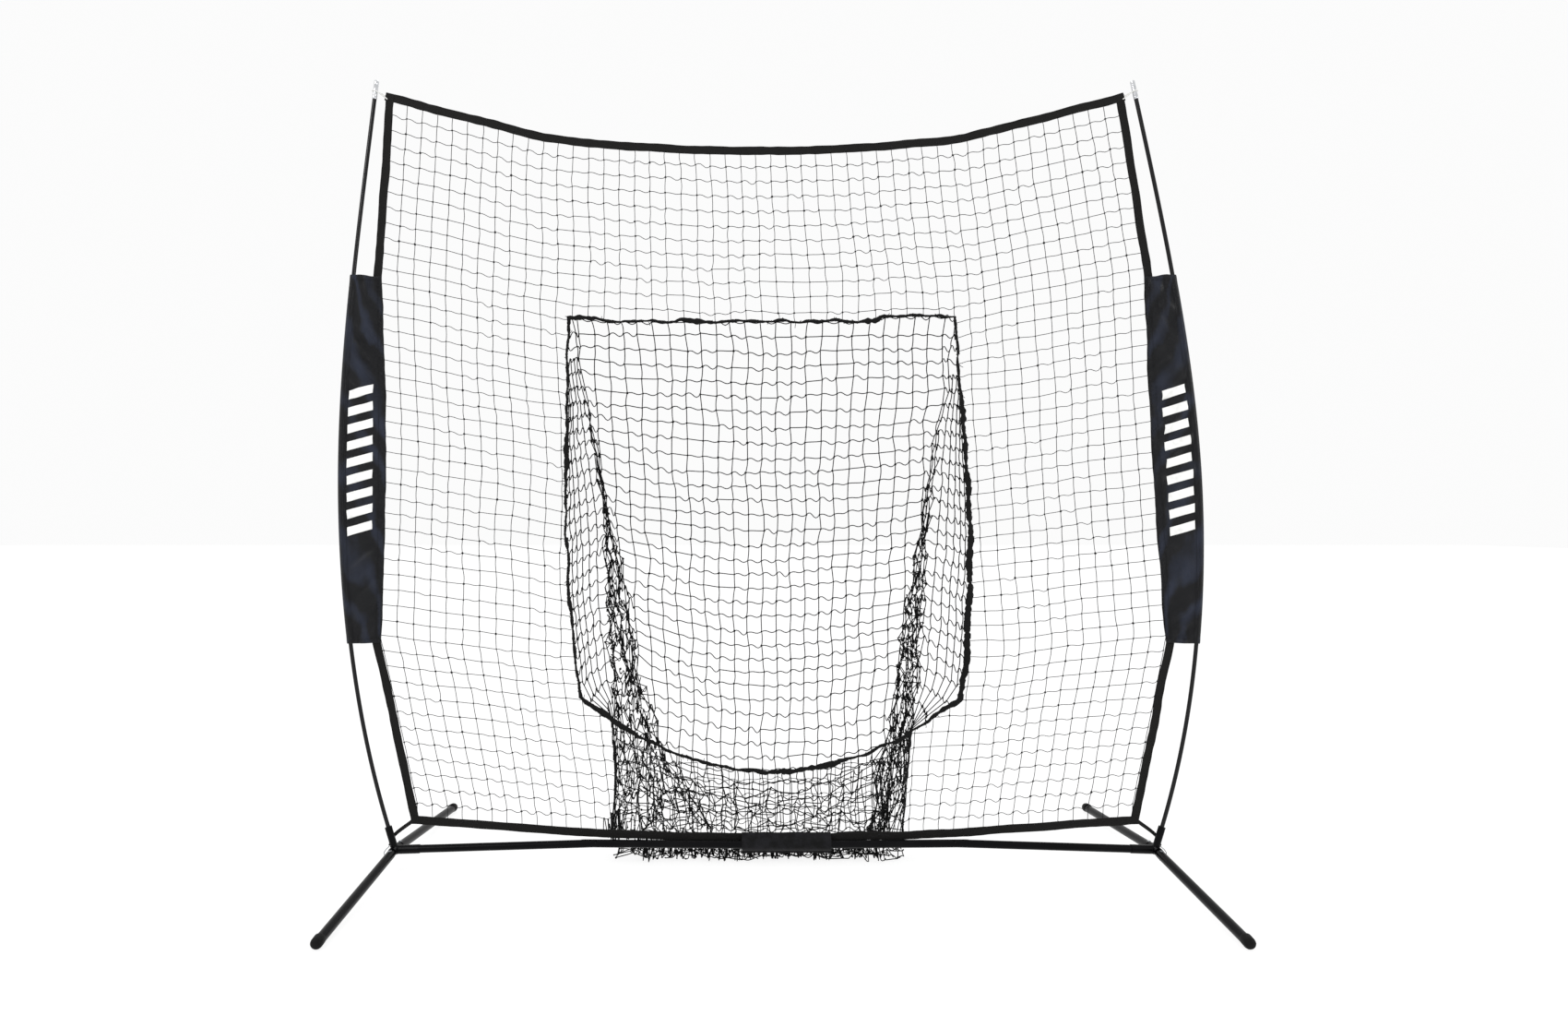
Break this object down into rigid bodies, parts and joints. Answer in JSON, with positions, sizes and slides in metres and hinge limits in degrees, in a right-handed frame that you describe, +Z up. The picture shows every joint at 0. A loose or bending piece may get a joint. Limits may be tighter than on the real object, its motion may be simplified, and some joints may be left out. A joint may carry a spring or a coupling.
{
  "type": "pitching target net",
  "caption": "Bow-pole practice net with a strike-zone opening and hanging pocket, fabric side panels and a crossbar base on folding feet.",
  "frame": {"origin": "on the floor under the middle of the crossbar", "axes": "+X along the crossbar to the pitcher's right, -Y towards the pitcher, +Z up"},
  "size_m": [2.458, 1.0968, 2.2351],
  "materials": {
    "powder_coated_steel": "satin",
    "zinc_plated_steel": "satin",
    "foot_rubber": "matte",
    "fibreglass": "gloss",
    "polished_nickel": "polished",
    "hem_tape": "matte",
    "net_twine": "matte",
    "pocket_twine": "matte",
    "rim_binding": "matte",
    "oxford_fabric": "matte",
    "loop_fabric": "matte",
    "elastic_cord": "matte",
    "light_elastic": "matte"
  },
  "bodies": {
    "frame": {"hub_bracket_left": "powder_coated_steel", "crossbar_outer_left": "powder_coated_steel", "crossbar_inner_left": "powder_coated_steel", "foot_rivet_front_left": "zinc_plated_steel", "foot_rivet_rear_left": "zinc_plated_steel", "hub_bracket_right": "powder_coated_steel", "crossbar_outer_right": "powder_coated_steel", "crossbar_inner_right": "powder_coated_steel", "foot_rivet_front_right": "zinc_plated_steel", "foot_rivet_rear_right": "zinc_plated_steel", "crossbar_spigot": "powder_coated_steel", "pole_lower_left": "fibreglass", "pole_middle_left": "fibreglass", "pole_upper_left": "fibreglass", "pole_ferrule_lower_left": "zinc_plated_steel", "pole_ferrule_upper_left": "zinc_plated_steel", "pole_tip_left": "polished_nickel", "pole_lower_right": "fibreglass", "pole_middle_right": "fibreglass", "pole_upper_right": "fibreglass", "pole_ferrule_lower_right": "zinc_plated_steel", "pole_ferrule_upper_right": "zinc_plated_steel", "pole_tip_right": "polished_nickel", "hem_top": "hem_tape", "hem_bottom": "hem_tape", "hem_left": "hem_tape", "hem_right": "hem_tape", "net_upper": "net_twine", "net_lower": "net_twine", "net_left": "net_twine", "net_right": "net_twine", "strike_zone_rim": "rim_binding", "pocket_back": "pocket_twine", "pocket_front": "pocket_twine", "pocket_floor": "pocket_twine", "pocket_side_left": "pocket_twine", "pocket_side_right": "pocket_twine", "side_panel_left": "oxford_fabric", "side_panel_right": "oxford_fabric", "centre_wrap": "loop_fabric", "corner_tie_left": "elastic_cord", "tie_hook_left": "zinc_plated_steel", "top_loop_left": "light_elastic", "corner_tie_right": "elastic_cord", "tie_hook_right": "zinc_plated_steel", "top_loop_right": "light_elastic"},
    "foot_front_left": {"foot_tube_front_left": "powder_coated_steel", "foot_cap_front_left": "foot_rubber"},
    "foot_rear_left": {"foot_tube_rear_left": "powder_coated_steel", "foot_cap_rear_left": "foot_rubber"},
    "button_stub_left": {"stub_button_left": "zinc_plated_steel"},
    "button_joint_left": {"joint_button_left": "zinc_plated_steel"},
    "foot_front_right": {"foot_tube_front_right": "powder_coated_steel", "foot_cap_front_right": "foot_rubber"},
    "foot_rear_right": {"foot_tube_rear_right": "powder_coated_steel", "foot_cap_rear_right": "foot_rubber"},
    "button_stub_right": {"stub_button_right": "zinc_plated_steel"},
    "button_joint_right": {"joint_button_right": "zinc_plated_steel"}
  },
  "joints": [
    {"name": "foot_front_left_fold", "type": "hinge", "parent": "frame", "child": "foot_front_left", "pos_m": [-1.08, -0.0419, 0.04714], "axis": [0, -0.0682, 0.9977], "range_deg": [0, 89]},
    {"name": "foot_rear_left_fold", "type": "hinge", "parent": "frame", "child": "foot_rear_left", "pos_m": [-1.08, 0.0419, 0.04714], "axis": [0, -0.0682, -0.9977], "range_deg": [0, 89]},
    {"name": "stub_button_left_press", "type": "slide", "parent": "frame", "child": "button_stub_left", "axis": [0, -1, 0], "range_m": [0, 0.0035], "stiffness_N_per_m": 1500, "springref_m": -0.002},
    {"name": "joint_button_left_press", "type": "slide", "parent": "frame", "child": "button_joint_left", "axis": [0, -1, 0], "range_m": [0, 0.0035], "stiffness_N_per_m": 1500, "springref_m": -0.002},
    {"name": "foot_front_right_fold", "type": "hinge", "parent": "frame", "child": "foot_front_right", "pos_m": [1.08, -0.0419, 0.04714], "axis": [0, 0.0682, -0.9977], "range_deg": [0, 89]},
    {"name": "foot_rear_right_fold", "type": "hinge", "parent": "frame", "child": "foot_rear_right", "pos_m": [1.08, 0.0419, 0.04714], "axis": [0, 0.0682, 0.9977], "range_deg": [0, 89]},
    {"name": "stub_button_right_press", "type": "slide", "parent": "frame", "child": "button_stub_right", "axis": [0, -1, 0], "range_m": [0, 0.0035], "stiffness_N_per_m": 1500, "springref_m": -0.002},
    {"name": "joint_button_right_press", "type": "slide", "parent": "frame", "child": "button_joint_right", "axis": [0, -1, 0], "range_m": [0, 0.0035], "stiffness_N_per_m": 1500, "springref_m": -0.002}
  ]
}
